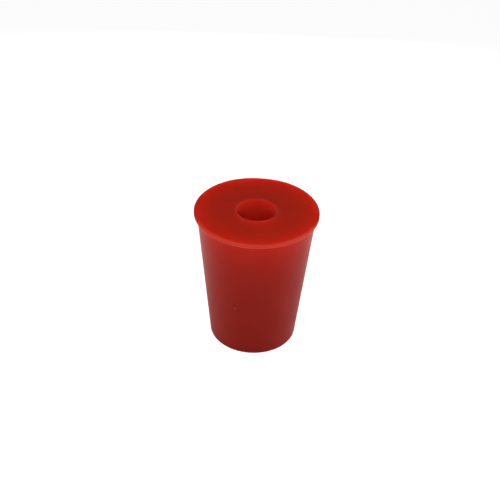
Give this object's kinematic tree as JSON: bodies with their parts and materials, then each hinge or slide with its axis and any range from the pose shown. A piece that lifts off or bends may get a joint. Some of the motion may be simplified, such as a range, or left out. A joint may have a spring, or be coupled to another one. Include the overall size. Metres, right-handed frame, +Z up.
{
  "type": "rubber stopper",
  "caption": "Tapered red rubber laboratory stopper with a thin rim at the large end and a straight hole through the axis for a glass tube.",
  "frame": {"origin": "centre of the small end, which is the face the stopper stands on", "axes": "+Z up the axis of the hole, from the small end to the large end; X and Y are free, since the stopper is round"},
  "size_m": [0.0252, 0.0252, 0.03],
  "materials": {
    "red_rubber": "satin"
  },
  "bodies": {
    "root": {"stopper_body": "red_rubber"}
  },
  "joints": []
}
